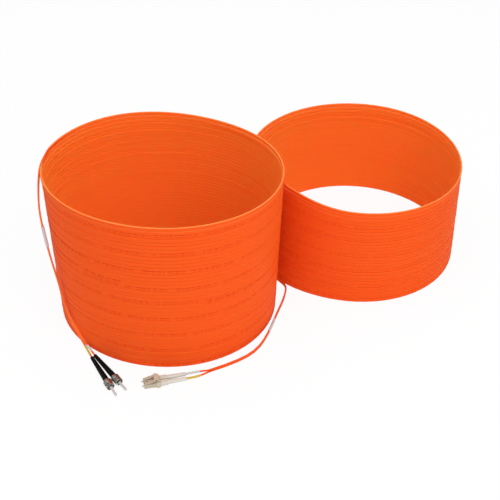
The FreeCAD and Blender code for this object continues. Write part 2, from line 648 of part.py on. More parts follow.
def plug_nodes():
    """All pieces of the four plugs, where they lie."""
    nodes = {}
    for name, plug in BAYONET_PLUGS.items():
        for piece, shape in bayonet_plug().items():
            shape.Placement = plug_placement(plug).multiply(shape.Placement)
            nodes[f"bayonet_{name}_{piece}"] = shape
    pair = plug_placement(LATCH_PAIR)
    for name, side in (("a", 1), ("b", -1)):
        beside = FreeCAD.Placement(Vector(0, side * LATCH_PITCH / 2, 0), FreeCAD.Rotation())
        for piece, shape in latch_plug().items():
            shape.Placement = pair.multiply(beside).multiply(shape.Placement)
            nodes[f"latch_{name}_{piece}"] = shape
    for piece, shape in (("duplex_clip", duplex_clip()), ("clip_trigger", clip_trigger())):
        shape.Placement = pair.multiply(shape.Placement)
        nodes[piece] = shape
    return nodes


def report_routes(nodes):
    """Print each route's arc radii and compare its tube's volume with section times length."""
    ends = (Vector(0, 0, 0), AXIS_X, AXIS_Z)
    zip_area = flat_section(ZIP_WIDTH, LEG_DIAMETER)(*ends).Area
    leg_area = round_section(LEG_DIAMETER / 2)(*ends).Area
    routes = {"crossover_cord": CROSSOVER, "bayonet_tail_cord": BAYONET_TAIL, "latch_tail_cord": LATCH_TAIL}
    for name in "ab":
        routes[f"bayonet_{name}_leg"] = BAYONET_LEGS[name]
        routes[f"latch_{name}_leg"] = LATCH_LEGS[name]
    for node, route in routes.items():
        area = leg_area if node.endswith("leg") else zip_area
        length = route_length(route)
        share = nodes[node].Volume / (area * length)
        print(node, "length", round(length, 1), "radii", route_radii(route), "volume ratio", round(share, 4))


def main():
    nodes = {**cord_nodes(), **plug_nodes()}
    os.makedirs("parts", exist_ok=True)
    for node, shape in nodes.items():
        shape.exportStep(f"parts/{node}.step")
    report_routes(nodes)
    return nodes


main()
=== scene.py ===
"""Dress a duplex fibre patch cord: two standing coils of cord, bayonet plugs and clipped latch plugs."""
import math

import bmesh
import bpy
import numpy as np
from mathutils import Matrix


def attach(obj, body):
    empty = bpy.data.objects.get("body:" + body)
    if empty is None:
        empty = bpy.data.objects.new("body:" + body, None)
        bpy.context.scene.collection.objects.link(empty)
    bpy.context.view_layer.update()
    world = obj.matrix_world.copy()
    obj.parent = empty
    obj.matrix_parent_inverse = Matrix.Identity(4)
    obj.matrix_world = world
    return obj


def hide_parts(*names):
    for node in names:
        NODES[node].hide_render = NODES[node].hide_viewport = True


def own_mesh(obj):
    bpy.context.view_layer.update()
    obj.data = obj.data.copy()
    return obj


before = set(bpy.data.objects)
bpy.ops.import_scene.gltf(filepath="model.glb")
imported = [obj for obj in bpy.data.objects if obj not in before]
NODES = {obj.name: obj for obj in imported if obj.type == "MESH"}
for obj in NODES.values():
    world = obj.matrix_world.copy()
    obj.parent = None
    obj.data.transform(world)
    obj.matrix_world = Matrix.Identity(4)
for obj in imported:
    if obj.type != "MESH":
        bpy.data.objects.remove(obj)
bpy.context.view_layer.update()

bl_info = {
    "name": "Fibre patch cord",
    "version": (1, 0, 0),
    "blender": (4, 5, 0),
    "location": "View3D > Sidebar > Patch cord",
    "description": "Cord, sleeves, plugs and studio stage of a coiled duplex fibre patch cord",
    "category": "Object",
}

MM = 0.001
UP = np.array([0.0, 0.0, 1.0])

# Floor place of the front coil's base centre; places below are given from there, apart from the lamps', and
# lengths are in millimetres where a comment doesn't say metres
FRONT_COIL_AT = np.array([-105.35, -35.07, 0.0])

# Oval drums that the turns follow: base centre, lean to the top, radii at floor and top, oval (the cosine
# and sine parts at twice the angle), height, and the slope of the rim in x and y
FRONT_COIL = {
    "base": (0.0, 0.0), "lean": (2.96, 0.21), "low_radius": 110.86, "high_radius": 112.5,
    "oval": (5.5005, -1.6994), "height": 173.03, "slope": (-0.0284, -0.0326)}
BACK_COIL = {
    "base": (211.42, 106.45), "lean": (-3.39, 0.42), "low_radius": 114.18, "high_radius": 111.83,
    "oval": (1.6, 0.0), "height": 119.38, "slope": (-0.0267, 0.0148)}

# Turns of each coil from its top end: start angle in degrees, turns (negative is clockwise from above), and
# unevenness with its seed. A bulge has its turns from the top, its reach in turns, the distance out and the
# turns over which it dies away below, or above where they are negative. A lift of the rim has its angle and
# reach in degrees and its height.
FRONT_WINDING = {
    "start": 165.0, "turns": -41.9583, "jitter": 0.3, "seed": 5, "lifts": [],
    "bulges": [(1.39, 0.09, -0.8, 0.4), (0.125, 0.08, 2.8, 10.0), (0.30, 0.08, -2.8, 10.0)]}
BACK_WINDING = {
    "start": 224.0, "turns": 28.8667, "jitter": 0.3, "seed": 8, "lifts": [(222.0, 20.0, 8.5)],
    "bulges": [(0.867, 0.085, 5.5, 5.0), (0.517, 0.10, 3.8, 12.0), (27.967, 0.0635, 5.2, -8.0)]}
COILS = ((FRONT_COIL, FRONT_WINDING), (BACK_COIL, BACK_WINDING))

# Control points on a turn, the share at its end that steps down, and line points for each control point
TURN_POINTS = 24
STEP_SHARE = 0.1
LINE_STEPS = 3

# How far a coil's first turn stands out beyond the rest, and the turns from the top over which that ends
PROUD_RIM = 0.3
PROUD_TURNS = (0.9, 1.15)

# Noise of the turns: lengths of its coarse and fine part in control points, share of the fine part, and the
# length in turns and least strength of the bands in which it comes and goes
COARSE_LENGTH = 17.0
FINE_LENGTH = 5.0
FINE_SHARE = 0.6
BAND_TURNS = 4.3
BAND_LEAST = 0.35

# Gap between the floor and the lowest turn
FLOOR_GAP = 0.15

# Routes of the cord where it isn't coiled, and of its legs
BAYONET_TAIL = [
    (-79.5, -80.6, 6.4), (-91.9, -64.3, 15.0), (-101.2, -55.8, 38.5), (-103.8, -52.9, 66.0),
    (-107.3, -52.5, 94.0), (-110.6, -48.5, 121.0), (-114.0, -41.1, 145.0), (-115.1, -26.8, 162.5),
    (-115.8, -9.0, 174.0), (-114.0, 12.0, 174.4)]
CROSSOVER = [
    (-113.5, 33.5, 3.0), (-98.5, 63.5, 12.0), (-75.2, 87.6, 26.0), (-45.1, 103.2, 41.0),
    (-11.4, 110.0, 56.0), (22.8, 108.3, 71.0), (54.9, 98.0, 86.0), (82.0, 79.5, 101.0),
    (102.5, 55.5, 118.0), (121.5, 35.6, 127.0)]
LATCH_TAIL = [
    (96.0, 81.9, 2.05), (102.8, 53.5, 2.05), (109.9, 40.6, 2.05), (120.7, 27.6, 2.05), (129.2, 17.0, 2.05),
    (127.4, 4.0, 2.05), (123.9, -10.0, 2.05), (118.2, -26.0, 2.05), (109.9, -53.6, 2.05),
    (97.6, -82.3, 2.05), (74.4, -100.9, 2.05), (48.0, -112.7, 2.05)]
LEGS = {
    "bayonet_a": [
        (-80.3, -81.2, 6.4), (-76.2, -87.3, 3.9), (-71.02, -95.51, 2.28), (-64.36, -106.66, 2.92)],
    "bayonet_b": [
        (-78.7, -80.0, 6.4), (-73.9, -85.3, 3.9), (-68.38, -92.61, 2.28), (-60.43, -102.88, 2.92)],
    "latch_a": [
        (48.0, -112.7, 1.07), (40.5, -119.1, 1.9), (26.97, -123.98, 3.2), (14.37, -127.19, 3.2)],
    "latch_b": [
        (48.0, -112.7, 3.03), (39.2, -113.9, 3.1), (25.43, -117.92, 3.2), (12.83, -121.13, 3.2)]}

# Line points for each control point of a leg, and sides of its section
LEG_STEPS = 12
LEG_SIDES = 16

# Distance along the cord over which its flat side turns from the front coil's wall to square on its run, and
# the stretch from the bayonet split on which it turns to face up
WALL_FACING = (195.0, 235.0)
TWIST_REACH = 70.0

# Lobes of the cord's section: degrees that each goes round to either side of its crown, and points on it
LOBE_SPREAD = 138.0
LOBE_POINTS = 7

# Where turns press on each other: power of the squarer lobes, turns from the top over which it begins, and
# turns to the floor end over which it ends
PRESSED_POWER = 0.35
PRESSED_BEGINS = (1.0, 1.3)
PRESSED_ENDS = (0.0, 0.3)

# Inner tone, a paler tone painted as bounce light inside a coil: how far a point faces into the coil, in leg
# radii, and the turns over which it begins
INNER_FACING = (0.0, 0.8)
INNER_BEGINS = (0.0, 0.1)

# Rim highlight, painted as a paler tone: height on the section, turns over which it begins, and two steps,
# at each of which half is lost
RIM_HIGHLIGHT_HEIGHT = (0.6, 1.0)
RIM_HIGHLIGHT_BEGINS = (-0.1, 0.0)
RIM_HIGHLIGHT_STEPS = ((0.9, 1.1), (1.9, 2.3))

# How far the bayonet tail takes the rim's painted highlight, and the distances in metres over which that
# ends
TAIL_HIGHLIGHT = 0.4
TAIL_HIGHLIGHT_FADE = (0.19, 0.23)

# Marker sleeves: first and last distance along each leg, colour by the leg's letter, and section's sides
SLEEVE_SPANS = {
    "bayonet_a": (2.2, 14.1), "bayonet_b": (2.2, 10.6), "latch_a": (10.0, 24.0), "latch_b": (8.9, 23.0)}
SLEEVE_TONES = {"a": "yellow", "b": "white"}
SLEEVE_SIDES = 24

# Label sleeves: first and last distance along the cord from the nearer split, width and thickness, and
# points on each round edge
LABELS = {
    "bayonet_label_sleeve": {"from_start": True, "span": (119.3, 140.6), "width": 5.0, "thickness": 3.0},
    "latch_label_sleeve": {"from_start": False, "span": (86.7, 106.0), "width": 4.2, "thickness": 2.4}}
LABEL_EDGE_POINTS = 9

# Rings along a sleeve, and how its ends are drawn in: share of its size, and reach in metres
SLEEVE_RINGS = 36
MARKER_PINCH = (0.15, 0.0004)
LABEL_PINCH = (0.1, 0.0005)

# Jacket: scale of its tone changes along and round the cord, its surface, and how light spreads in its skin
TONE_STRETCH = (5.0, 0.3, 1.0)
JACKET_GRAIN = 2600.0
JACKET_BUMP = 0.1
JACKET_ROUGHNESS = 0.48
JACKET_SPECULAR = 0.03
SKIN_LIGHT = 0.25
SKIN_LIGHT_INSIDE = 0.5
SKIN_SPREAD = (1.0, 0.2, 0.06)
SKIN_DEPTH = 0.0015

# Dashes on the jacket: printed stretches and the dashes on them, as period in metres and share of it; wear
# along them; and half their width as a share of the way round, on each quarter's middle line
PRINT_START = 1.905
PRINT_PERIOD = 3.375
PRINT_SHARE = 0.222
DASH_PERIOD = 0.047
DASH_SHARE = 0.86
WEAR_STRETCH = (320.0, 0.0, 0.0)
WEAR_RANGE = (0.35, 0.6)
QUARTER = 0.25
DASH_HALF_WIDTH = 0.03

# Moulded finishes: darker tone as a share of the colour, roughness, grain and specular level; then the scale
# of the clouds and the strength of the grain
PLASTICS = {
    "marker_yellow": {"shade": 0.90, "roughness": 0.45, "grain": 2500.0, "specular": 0.35},
    "marker_white": {"shade": 0.93, "roughness": 0.45, "grain": 2500.0, "specular": 0.35},
    "label_white": {"shade": 0.90, "roughness": 0.40, "grain": 1800.0, "specular": 0.35},
    "black_boot": {"shade": 0.60, "roughness": 0.55, "grain": 1500.0, "specular": 0.09},
    "white_boot": {"shade": 0.94, "roughness": 0.45, "grain": 1500.0, "specular": 0.35},
    "beige_housing": {"shade": 0.93, "roughness": 0.38, "grain": 1500.0, "specular": 0.35},
    "clip_plastic": {"shade": 0.93, "roughness": 0.38, "grain": 1500.0, "specular": 0.35},
    "zirconia": {"shade": 0.95, "roughness": 0.30, "grain": 4000.0, "specular": 0.25}}
CLOUD_SCALE = 60.0
PLASTIC_BUMP = 0.15

# How much lighter the clip is moulded than the latch housings
CLIP_LIGHTER = 1.12

# Plated finishes: darker tone as a share of the colour, least roughness, its range, clouds and scratches
METALS = {
    "nickel_plate": {"shade": 0.72, "roughness": 0.3},
    "spring_steel": {"shade": 0.818, "roughness": 0.3}}
ROUGHNESS_RANGE = 0.12
PLATE_SCALE = 350.0
SCRATCH_SCALE = 2500.0
SCRATCH_BUMP = 0.06

# Depth of every finish's bumps, in metres
BUMP_DEPTH = 0.0001

# Copies of the solids: merging distance in metres, angles of flat faces and sharp edges, and edge rounding
MERGE_DISTANCE = 1e-6
FLAT_ANGLE = math.radians(0.5)
SHARP_ANGLE = math.radians(34.0)
EDGE_ROUNDING = 0.00008
EDGE_SEGMENTS = 2

# Camera fitted to the photograph's outlines: place, angles in degrees, and lens and sensor in millimetres
CAMERA_AT = (88.2254, -697.0685, 625.9237)
CAMERA_PITCH = 38.7403
CAMERA_ROLL = -0.4375
CAMERA_LENS = 61.131
CAMERA_SENSOR = 36.0

# Lamps: places in the frame and side, in metres, and the middle that they face
LAMPS = {"key": (0.55, -0.9, 1.2), "fill": (-0.75, -0.6, 1.1), "top": (-0.25, 0.1, 1.25)}
LAMP_SIZE = 1.0
LIT_MIDDLE = (88.0, 40.0, 70.0)

# Floor: its grey and surface, and the share of plain white that is seen in its place
FLOOR_GREY = 0.92
FLOOR_ROUGHNESS = 0.9
FLOOR_SPECULAR = 0.1
FLOOR_GLOW = 0.92
WHITE = (1.0, 1.0, 1.0, 1.0)


def floor_place(points):
    """Places given from the front coil's base centre, in millimetres, as places in the frame in metres."""
    return (np.asarray(points, float) + FRONT_COIL_AT) * MM


def eased(values, low, high):
    """0 below low, 1 above high, and a cubic ease between."""
    share = np.clip((np.asarray(values, float) - low) / (high - low), 0, 1)
    return share * share * (3 - 2 * share)


def unit(vectors):
    """Each row divided by its length."""
    return vectors / np.linalg.norm(vectors, axis=1, keepdims=True)


def upward(line):
    """The way up, for each point of a line."""
    return np.tile(UP, (len(line), 1))


def smooth_line(name, points, resolution):
    """Points along a NURBS line of order 3 that has the route's points as its control points."""
    curve = bpy.data.curves.new(name, "CURVE")
    curve.dimensions = "3D"
    spline = curve.splines.new("NURBS")
    spline.points.add(len(points) - 1)
    spline.points.foreach_set("co", np.column_stack([points, np.ones(len(points))]).ravel())
    spline.order_u = 3
    spline.use_endpoint_u = True
    spline.resolution_u = resolution
    carrier = bpy.data.objects.new(name, curve)
    mesh = bpy.data.meshes.new_from_object(carrier)
    line = np.empty(len(mesh.vertices) * 3)
    mesh.vertices.foreach_get("co", line)
    bpy.data.meshes.remove(mesh)
    bpy.data.objects.remove(carrier)
    bpy.data.curves.remove(curve)
    return line.reshape(-1, 3)


def distances(line):
    """Distance along a line at each of its points."""
    steps = np.linalg.norm(np.diff(line, axis=0), axis=1)
    return np.concatenate([[0.0], np.cumsum(steps)])


def directions(line, reference):
    """Normal and across directions at each point of a line.

    The normal is the part of reference that is square to the run, and across is square to both.
    """
    along = unit(np.gradient(line, axis=0))
    normal = unit(reference - along * np.sum(reference * along, axis=1, keepdims=True))
    return normal, np.cross(normal, along)


def ring_points(line, normal, across, profile):
    """Ring i is line[i] + across[i] * u + normal[i] * v for each (u, v) of the profile or of its own."""
    profile = np.broadcast_to(profile, (len(line), *profile.shape[-2:]))
    return line[:, None] + across[:, None] * profile[..., :1] + normal[:, None] * profile[..., 1:]


def swept_mesh(name, line, rings):
    """A closed tube through rings of points, with flat ends.

    Point j of ring i makes a face with point j + 1 and with the same two points of ring i + 1. The UV map
    holds the distance along in metres and the share of the way round.
    """
    rows, columns = rings.shape[:2]
    i, j = np.meshgrid(np.arange(rows - 1), np.arange(columns), indexing="ij")
    k = (j + 1) % columns
    low, high = i * columns, (i + 1) * columns
    quads = np.stack([low + j, low + k, high + k, high + j], axis=-1).reshape(-1, 4)
    caps = np.stack([np.arange(columns)[::-1], np.arange(columns) + (rows - 1) * columns])
    mesh = bpy.data.meshes.new(name)
    mesh.vertices.add(rows * columns)
    mesh.vertices.foreach_set("co", rings.ravel())
    loops = np.concatenate([quads.ravel(), caps.ravel()])
    mesh.loops.add(len(loops))
    mesh.loops.foreach_set("vertex_index", loops)
    sizes = np.concatenate([np.full(len(quads), 4), np.full(2, columns)])
    mesh.polygons.add(len(sizes))
    mesh.polygons.foreach_set("loop_start", np.concatenate([[0], np.cumsum(sizes)[:-1]]))
    mesh.polygons.foreach_set("use_smooth", np.concatenate([np.ones(len(quads), bool), np.zeros(2, bool)]))
    mesh.update(calc_edges=True)
    gone = distances(line)
    corner_u = np.stack([gone[i], gone[i], gone[i + 1], gone[i + 1]], axis=-1).ravel()
    corner_v = np.stack([j, j + 1, j + 1, j], axis=-1).ravel() / columns
    ends = np.zeros(2 * columns)
    layer = mesh.uv_layers.new(name="run")
    layer.data.foreach_set("uv", np.column_stack([
        np.concatenate([corner_u, ends]), np.concatenate([corner_v, ends])]).ravel())
    mesh.validate()
    return mesh


def add_piece(name, mesh, material, body="cord"):
    """Link a mesh as a piece of the object that rides on a body."""
    piece = bpy.data.objects.new(name, mesh)
    bpy.context.scene.collection.objects.link(piece)
    mesh.materials.append(material)
    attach(piece, body)
    return piece


def circle_profile(radius, sides):
    """Corners of a round section, anticlockwise in (across, normal): radius * (cos, sin) at even angles."""
    angle = np.arange(sides) * 2 * np.pi / sides
    return np.column_stack([np.cos(angle), np.sin(angle)]) * radius


def zip_profile(radius, spacing, web, power):
    """Section of the two-leg cord: two lobes spacing apart, joined by a web of half thickness web.

    A lobe is radius * (cos, sin) with each part raised to power: 1 is round, and less is squarer.
    """
    spread = np.radians(np.linspace(-LOBE_SPREAD, LOBE_SPREAD, LOBE_POINTS))
    circle = np.column_stack([np.cos(spread), np.sin(spread)])
    right = (spacing / 2, 0.0) + radius * np.sign(circle) * np.abs(circle) ** power
    return np.concatenate([right, [(0.0, web)], -right, [(0.0, -web)]])


def stadium_profile(width, thickness, edge_points):
    """A flat section with its width along across: a half circle at each edge, thickness / 2 in radius."""
    angle = np.linspace(-np.pi / 2, np.pi / 2, edge_points)
    edge = (width - thickness) / 2
    right = np.column_stack([edge + thickness / 2 * np.cos(angle), thickness / 2 * np.sin(angle)])
    return np.concatenate([right, -right])


def smooth_noise(count, length, rng):
    """Even noise with a given length in samples: random values at knots, joined by cubic easing."""
    knots = rng.uniform(-1.0, 1.0, int(count / length) + 3)
    at = np.arange(count) / length
    low = at.astype(int)
    ease = eased(at - low, 0.0, 1.0)
    return knots[low] * (1 - ease) + knots[low + 1] * ease


def uneven_turns(winding, gone):
    """How far noise moves each point of a coil out.

    It is jitter * bands * (coarse noise + share of the fine noise), and fades in over the coil's first turn
    and out over its last.
    """
    rng = np.random.default_rng(winding["seed"])
    count = len(gone)
    bands = BAND_LEAST + np.abs(smooth_noise(count, BAND_TURNS * TURN_POINTS, rng))
    uneven = smooth_noise(count, COARSE_LENGTH, rng) + FINE_SHARE * smooth_noise(count, FINE_LENGTH, rng)
    fade = np.clip(np.minimum(gone, gone[-1] - gone), 0, 1)
    return winding["jitter"] * fade * bands * uneven


def bulged_turns(winding, gone):
    """How far the bulges move each point of a coil out.

    On its own turn a bulge is out * exp(-(turns away / reach)^2). On the turns below, or above where fading
    is negative, it dies away as exp(-turns from its own / fading), with fading taken without its sign.
    """
    total = np.zeros(len(gone))
    for at, reach, out, fading in winding["bulges"]:
        later = np.round(gone - at)
        swell = np.exp(-((gone - at - later) / reach) ** 2) * np.exp(-np.abs(later / fading))
        total += out * swell * (later * fading >= 0)
    return total


def rim_lift(winding, angle):
    """How much higher the rim is at each angle: the sum of height * exp(-(degrees away / reach)^2)."""
    total = np.zeros(len(angle))
    for at, reach, height in winding["lifts"]:
        away = (np.degrees(angle) - at + 180.0) % 360.0 - 180.0
        total += height * np.exp(-(away / reach) ** 2)
    return total


def coil_points(coil, winding, cord):
    """Control points of a coil's turns from its top to its floor end, in millimetres.

    Each turn lies level and steps down to the next along its last STEP_SHARE: level = turns above, eased at
    the step, and share = 1 - level / (turns - 1).
    radius = drum radius + oval - half the wall + proud rim + noise + bulges, over cos(pi / TURN_POINTS)
    because an order 3 line passes inside its control polygon.
    height = floor turn + share * (drum height + rim slope + rim lift).
    """
    turns = abs(winding["turns"])
    gone = np.arange(int(round(turns * TURN_POINTS)) + 1) / TURN_POINTS
    angle = np.radians(winding["start"] + np.sign(winding["turns"]) * 360.0 * gone)
    level = np.floor(gone) + eased(gone % 1.0, 1.0 - STEP_SHARE, 1.0)
    share = np.clip(1.0 - level / (math.ceil(turns) - 1), 0, 1)
    radius = coil["low_radius"] + (coil["high_radius"] - coil["low_radius"]) * share - cord.wall / MM / 2
    radius += coil["oval"][0] * np.cos(2 * angle) + coil["oval"][1] * np.sin(2 * angle)
    radius += PROUD_RIM * (1.0 - eased(gone, *PROUD_TURNS))
    radius += uneven_turns(winding, gone) + bulged_turns(winding, gone)
    radius /= math.cos(math.pi / TURN_POINTS)
    away = radius[:, None] * np.column_stack([np.cos(angle), np.sin(angle)])
    place = np.array(coil["base"]) + np.array(coil["lean"]) * share[:, None] + away
    half = (cord.leg_diameter + cord.leg_spacing) / MM / 2
    low = half + FLOOR_GAP
    rise = coil["height"] - half - low + away @ np.array(coil["slope"]) + rim_lift(winding, angle)
    return np.column_stack([place, low + share * rise])


def cord_route(cord):
    """Control points of the whole cord from the bayonet split to the latch split, in millimetres."""
    front, back = [coil_points(coil, winding, cord) for coil, winding in COILS]
    return np.concatenate([BAYONET_TAIL, front, CROSSOVER, back, LATCH_TAIL])


def cord_reference(line):
    """Which way the cord's flat side faces.

    That is level and square to the run, and on the bayonet tail it is off the front coil's axis. Along the
    TWIST_REACH before the bayonet split it turns to face up, so that the legs part side by side.
    """
    level = np.cross(UP, unit(np.gradient(line, axis=0)))
    middle = floor_place((*FRONT_COIL["lean"], 0.0))
    outward = unit((line - middle) * (1.0, 1.0, 0.0))
    gone = distances(line) / MM
    first, last = WALL_FACING
    tail = np.clip((last - gone) / (last - first), 0, 1)[:, None]
    lift = 1.0 - eased(gone, 0.0, TWIST_REACH)[:, None]
    wall = outward * (1 - lift) + UP * lift
    return level * (1 - tail) + wall * tail


def cord_line(cord):
    """The whole cord's middle line with its normal and across directions."""
    line = smooth_line("cord_line", floor_place(cord_route(cord)), LINE_STEPS)
    return line, *directions(line, cord_reference(line))


def leg_line(name):
    """The middle line of a leg."""
    return smooth_line(name + "_line", floor_place(LEGS[name]), LEG_STEPS)


def coil_turns(line, cord):
    """For each point of the cord: turns from its coil's top, turns to the floor end, and the way outward.

    Outward is level and off the coil's axis. Off the coils the turns are below 0 and the way is 0.
    """
    from_top = np.full(len(line), -1.0)
    to_floor = np.full(len(line), -1.0)
    outward = np.zeros_like(line)
    rows = np.arange(len(line))
    for coil, winding in COILS:
        ends = floor_place(coil_points(coil, winding, cord)[[0, -1]])
        first, last = [int(np.argmin(np.linalg.norm(line - end, axis=1))) for end in ends]
        coiled = (rows >= first) & (rows <= last)
        from_top[coiled] = (rows[coiled] - first) / (TURN_POINTS * LINE_STEPS)
        to_floor[coiled] = (last - rows[coiled]) / (TURN_POINTS * LINE_STEPS)
        away = line[coiled] - floor_place((*coil["base"], 0.0))
        outward[coiled] = unit(away * (1.0, 1.0, 0.0))
    return from_top, to_floor, outward


def point_values(mesh, name, values):
    """Store one value for each point of a mesh."""
    mesh.attributes.new(name, "FLOAT", "POINT").data.foreach_set("value", np.ravel(values))


def opaque(colour):
    """A colour with full cover."""
    return (*colour, 1.0)


def shader(owner, name):
    """The node of a material's or world's tree with the given name."""
    return owner.node_tree.nodes[name]


def new_material(name):
    """An empty node material with its surface shader and output joined."""
    material = bpy.data.materials.new(name)
    material.use_nodes = True
    return material


def set_inputs(owner, node, inputs):
    """Set or link a node's inputs by name or index."""
    for key, value in inputs.items():
        if isinstance(value, bpy.types.NodeSocket):
            owner.node_tree.links.new(value, node.inputs[key])
        else:
            node.inputs[key].default_value = value


def set_surface(material, inputs):
    """Set or link inputs of the surface shader."""
    set_inputs(material, shader(material, "Principled BSDF"), inputs)


def add_node(owner, kind, inputs=None, **settings):
    """Add a node, set its properties, and set or link its inputs."""
    node = owner.node_tree.nodes.new(kind)
    for key, value in settings.items():
        setattr(node, key, value)
    set_inputs(owner, node, inputs or {})
    return node


def math_node(owner, operation, *values):
    """Output of a Math node."""
    return add_node(owner, "ShaderNodeMath", dict(enumerate(values)), operation=operation).outputs[0]


def product(material, first, *others):
    """Output of a chain of Math nodes that multiply values."""
    for other in others:
        first = math_node(material, "MULTIPLY", first, other)
    return first


def mixed_colour(material, factor, first, second):
    """Output 2 of a mix node, which mixes the colours in its inputs 6 and 7."""
    return add_node(material, "ShaderNodeMix", {0: factor, 6: first, 7: second}, data_type="RGBA").outputs[2]


def ranged(owner, value, from_low=0.0, from_high=1.0, to_low=0.0, to_high=1.0):
    """Output of a Map Range node, whose first five inputs are these."""
    inputs = dict(enumerate((value, from_low, from_high, to_low, to_high)))
    return add_node(owner, "ShaderNodeMapRange", inputs).outputs[0]


def noise(material, vector, scale=1.0, detail=3.0):
    """Output of a noise texture."""
    return add_node(material, "ShaderNodeTexNoise", {
        "Vector": vector, "Scale": scale, "Detail": detail}).outputs[0]


def mapped(material, vector, scale):
    """A place stretched along its axes."""
    return add_node(material, "ShaderNodeMapping", {"Vector": vector, "Scale": scale}).outputs[0]


def bump(material, height, strength):
    """Normal from a height."""
    return add_node(material, "ShaderNodeBump", {
        "Height": height, "Strength": strength, "Distance": BUMP_DEPTH}).outputs[0]


def object_place(material):
    """Object coordinates."""
    return add_node(material, "ShaderNodeTexCoord").outputs["Object"]


def stored_value(material, name):
    """The value that a mesh holds for each of its points under a name."""
    return add_node(material, "ShaderNodeAttribute", attribute_name=name).outputs["Fac"]


def repeated(material, along, period, share):
    """1 on the first share of each period along a distance, and 0 on the rest."""
    turn = math_node(material, "FRACT", math_node(material, "DIVIDE", along, period))
    return math_node(material, "LESS_THAN", turn, share)


def dash_cover(material, run, inside, strength):
    """How far the worn dashes cover the jacket: dash * wear * line * stretch * (strength - inside, or 0)."""
    split = add_node(material, "ShaderNodeSeparateXYZ", {0: run})
    gone, around = split.outputs[0], split.outputs[1]
    later = math_node(material, "SUBTRACT", gone, PRINT_START)
    stretch = repeated(material, later, PRINT_PERIOD, PRINT_SHARE)
    dash = repeated(material, gone, DASH_PERIOD, DASH_SHARE)
    wear = ranged(material, noise(material, mapped(material, run, WEAR_STRETCH), detail=1.0), *WEAR_RANGE)
    side = math_node(material, "PINGPONG", around, QUARTER)
    off_line = math_node(material, "ABSOLUTE", math_node(material, "SUBTRACT", side, QUARTER / 2))
    line = math_node(material, "LESS_THAN", off_line, DASH_HALF_WIDTH)
    outside = math_node(material, "MAXIMUM", math_node(material, "SUBTRACT", strength, inside), 0.0)
    return product(material, dash, wear, line, stretch, outside)


def jacket_material(cord):
    """Smooth extruded jacket: slight tone changes along the run, a paler tone inside a coil that is painted
    bounce light, and a paler tone on its rim and bayonet tail that is a painted highlight.

    Worn plain dashes are printed on it, and light spreads further in its skin inside a coil.
    """
    material = new_material("jacket")
    run = add_node(material, "ShaderNodeUVMap", uv_map="run").outputs[0]
    tone = noise(material, mapped(material, run, TONE_STRETCH), detail=2.0)
    inside = stored_value(material, "inside")
    colour = mixed_colour(material, tone, opaque(cord.jacket_dark), opaque(cord.jacket))
    # Painted bounce light: the paler tone where the jacket faces into a coil
    colour = mixed_colour(material, inside, colour, opaque(cord.jacket_inside_painted_light))
    # Painted highlight: the paler tone along each coil's rim and the bayonet tail
    colour = mixed_colour(material, stored_value(material, "rim"), colour, opaque(cord.jacket_rim_highlight))
    cover = dash_cover(material, run, inside, cord.print_strength)
    colour = mixed_colour(material, cover, colour, opaque(cord.print_colour))
    skin_light = math_node(material, "ADD", product(material, inside, SKIN_LIGHT_INSIDE), SKIN_LIGHT)
    grain = noise(material, object_place(material), JACKET_GRAIN, detail=2.0)
    set_surface(material, {
        "Base Color": colour, "Roughness": JACKET_ROUGHNESS, "Specular IOR Level": JACKET_SPECULAR,
        "Subsurface Weight": skin_light, "Subsurface Radius": SKIN_SPREAD, "Subsurface Scale": SKIN_DEPTH,
        "Normal": bump(material, grain, JACKET_BUMP)})
    return material


def plastic_material(name, colour):
    """Moulded plastic or rubber: two near tones in clouds and a fine moulded grain."""
    finish = PLASTICS[name]
    material = new_material(name)
    place = object_place(material)
    clouds = noise(material, place, CLOUD_SCALE, detail=2.0)
    shade = [part * finish["shade"] for part in colour]
    set_surface(material, {
        "Base Color": mixed_colour(material, clouds, opaque(shade), opaque(colour)),
        "Roughness": finish["roughness"], "Specular IOR Level": finish["specular"],
        "Normal": bump(material, noise(material, place, finish["grain"]), PLASTIC_BUMP)})
    return material


def metal_material(name, colour):
    """Plated metal: a slightly uneven plate with fine scratches."""
    finish = METALS[name]
    material = new_material(name)
    place = object_place(material)
    uneven = noise(material, place, PLATE_SCALE)
    shade = [part * finish["shade"] for part in colour]
    least = finish["roughness"]
    rough = ranged(material, uneven, to_low=least, to_high=least + ROUGHNESS_RANGE)
    set_surface(material, {
        "Base Color": mixed_colour(material, uneven, opaque(shade), opaque(colour)), "Metallic": 1.0,
        "Roughness": rough, "Normal": bump(material, noise(material, place, SCRATCH_SCALE), SCRATCH_BUMP)})
    return material


def dress_node(name, material):
    """Give a carried-over solid its material."""
    mesh = NODES[name].data
    mesh.materials.clear()
    mesh.materials.append(material)


def finished_copy(name, material, body="cord"):
    """A merged copy of a solid's mesh in its place, smooth between its sharp edges, which are rounded."""
    mesh = NODES[name].data.copy()
    mesh.name = name + "_finish"
    mesh.materials.clear()
    shape = bmesh.new()
    shape.from_mesh(mesh)
    bmesh.ops.remove_doubles(shape, verts=shape.verts, dist=MERGE_DISTANCE)
    bmesh.ops.dissolve_limit(shape, angle_limit=FLAT_ANGLE, verts=shape.verts, edges=shape.edges)
    shape.to_mesh(mesh)
    shape.free()
    mesh.shade_smooth()
    mesh.set_sharp_from_angle(angle=SHARP_ANGLE)
    piece = add_piece(name + "_finish", mesh, material, body)
    rounding = piece.modifiers.new("edges", "BEVEL")
    rounding.width = EDGE_ROUNDING
    rounding.segments = EDGE_SEGMENTS
    rounding.limit_method = "ANGLE"
    rounding.angle_limit = SHARP_ANGLE
    rounding.harden_normals = True
    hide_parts(name)
    return piece


def spring_copy(name, material):
    """A finished copy of a spring, with a mesh of its own.
    """
    piece = finished_copy(name, material)
    points = np.empty(len(piece.data.vertices) * 3)
    piece.data.vertices.foreach_get("co", points)
    points = points.reshape(-1, 3)
    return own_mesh(piece)


def values_at(gone, values, at):
    """Rows of values, known at the distances gone, at other distances."""
    return np.column_stack([np.interp(at, gone, column) for column in values.T])


